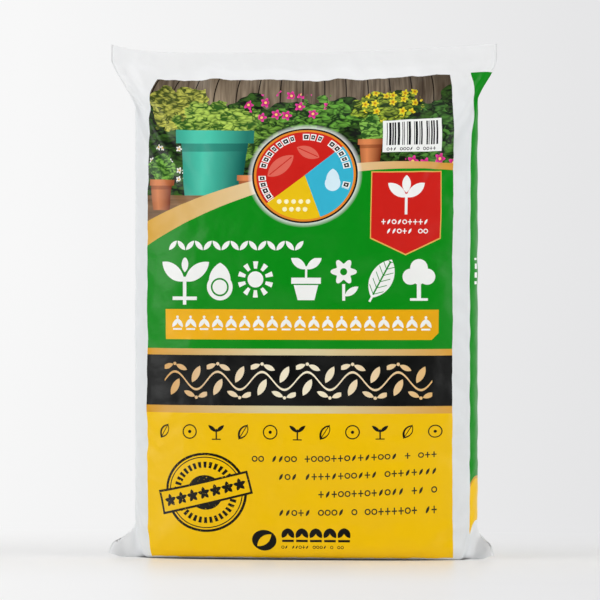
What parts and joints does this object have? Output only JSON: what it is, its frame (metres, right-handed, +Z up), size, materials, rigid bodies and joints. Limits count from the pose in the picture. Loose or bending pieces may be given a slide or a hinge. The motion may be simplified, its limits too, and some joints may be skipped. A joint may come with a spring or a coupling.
{
  "type": "compost bag",
  "caption": "Filled bag of compost standing on its base: printed plastic film welded flat across both ends, with an ear at each corner and a broad, slightly bulging front.",
  "frame": {"origin": "on the floor, under the middle of the bag", "axes": "+Z up from the floor to the welded top edge, +X across the front to its right side, -Y out of the printed front"},
  "size_m": [0.4, 0.113, 0.527],
  "materials": {
    "printed_film": "white polyethylene film with a satin gloss, printed in green, yellow, black and gold"
  },
  "bodies": {
    "root": {"compost_bag": "printed_film"}
  },
  "joints": []
}
